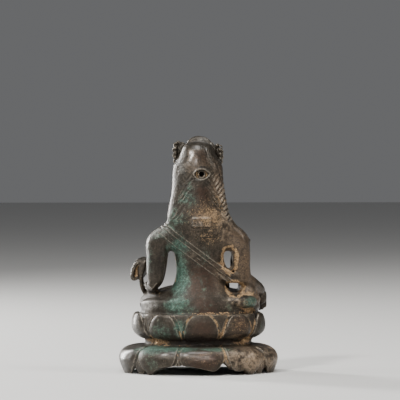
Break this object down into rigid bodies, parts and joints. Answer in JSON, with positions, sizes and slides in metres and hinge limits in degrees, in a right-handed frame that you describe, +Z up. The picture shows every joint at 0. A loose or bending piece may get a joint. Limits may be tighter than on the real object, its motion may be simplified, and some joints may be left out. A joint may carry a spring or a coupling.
{
  "type": "seated bronze maitreya statue",
  "caption": "Small cast bronze figure seated cross-legged on a double lotus base, with long hair, a sash, a lotus blossom at one elbow and a halo socket behind the head.",
  "frame": {"origin": "on the ground under the middle of the lotus base", "axes": "+Z up; the figure faces -Y, so its back with the halo socket faces +Y and its left hand is at +X"},
  "size_m": [0.0634, 0.0496, 0.0948],
  "materials": {
    "bronze": "dark cast bronze with a worn green and brown patina and earth in the hollows"
  },
  "bodies": {
    "root": {"maitreya_statue": "bronze"}
  },
  "joints": []
}
